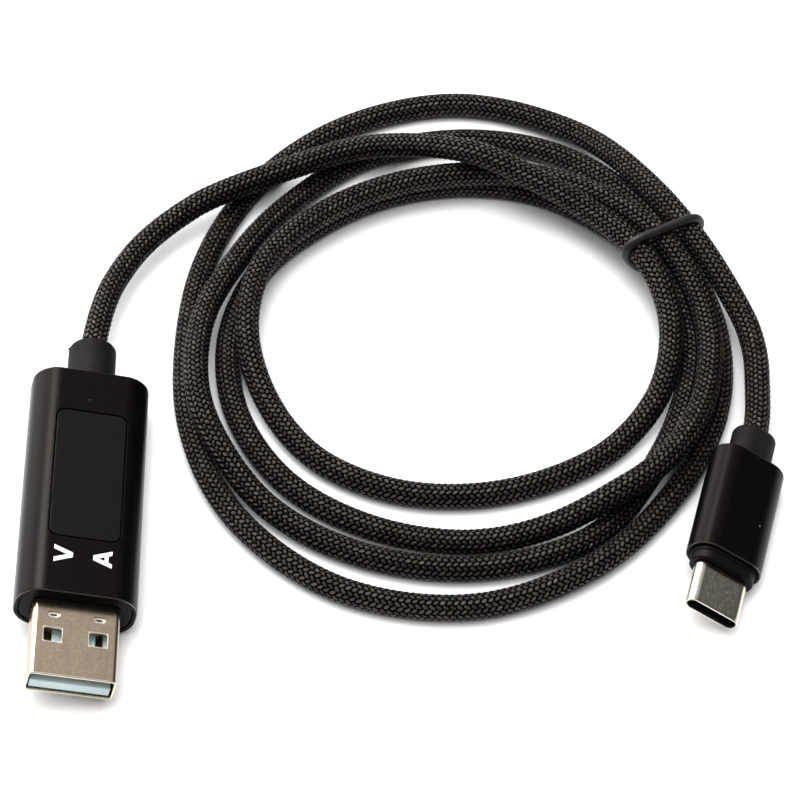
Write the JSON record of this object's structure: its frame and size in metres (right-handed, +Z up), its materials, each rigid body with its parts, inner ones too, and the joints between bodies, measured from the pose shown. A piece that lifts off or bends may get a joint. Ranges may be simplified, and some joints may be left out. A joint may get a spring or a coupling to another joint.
{
  "type": "usb power meter cable",
  "caption": "Braided USB-A to USB-C lead with a volt and amp display in the USB-A housing, coiled and held by a rubber ring.",
  "frame": {"origin": "under the middle of the meter housing, on the surface that everything lies on", "axes": "+Y along the meter housing from the USB-A tip towards the cord, +X towards the coil, +Z up"},
  "size_m": [0.1072, 0.1112, 0.0113],
  "materials": {
    "anodised_black": "satin black anodised, fine grain, worn edges",
    "black_plastic": "moulded satin black",
    "smoked_window": "polished smoked acrylic",
    "nickel": "warm nickel plating on drawn sheet",
    "stainless": "satin drawn steel",
    "pale_blue_plastic": "moulded pale blue",
    "contact_gold": "gold flash over copper alloy",
    "soft_grey": "soft moulded dark grey",
    "tie_rubber": "smooth dark rubber",
    "braid": "tight black nylon braid",
    "wire_jacket": "thin wire insulation",
    "circuit_board": "green solder mask",
    "chip_body": "moulded chip package",
    "ceramic_chip": "fired chip ceramic",
    "ink": "printed white ink"
  },
  "bodies": {
    "root": {"meter_sleeve": "anodised_black", "display_window": "smoked_window", "nose_insert": "black_plastic", "strain_relief_a": "soft_grey", "display_module": "chip_body", "meter_board": "circuit_board", "controller_chip": "chip_body", "shunt_resistor": "ceramic_chip", "regulator_chip": "chip_body", "filter_capacitor": "ceramic_chip", "output_capacitor": "ceramic_chip", "meter_wire_1": "wire_jacket", "meter_wire_2": "wire_jacket", "meter_wire_3": "wire_jacket", "meter_wire_4": "wire_jacket", "usb_a_shell": "nickel", "usb_a_insulator": "pale_blue_plastic", "usb_a_contact_1": "contact_gold", "usb_a_contact_2": "contact_gold", "usb_a_contact_3": "contact_gold", "usb_a_contact_4": "contact_gold", "usb_c_sleeve": "anodised_black", "usb_c_nose": "black_plastic", "usb_c_shell": "stainless", "usb_c_insulator": "black_plastic", "usb_c_contacts_upper": "contact_gold", "usb_c_contacts_lower": "contact_gold", "usb_c_board": "circuit_board", "usb_c_resistor": "chip_body", "usb_c_wire_1": "wire_jacket", "usb_c_wire_2": "wire_jacket", "strain_relief_c": "soft_grey", "cord_lead_meter": "braid", "cord_coil": "braid", "cord_lead_plug": "braid", "tie_ring": "tie_rubber"}
  },
  "joints": []
}
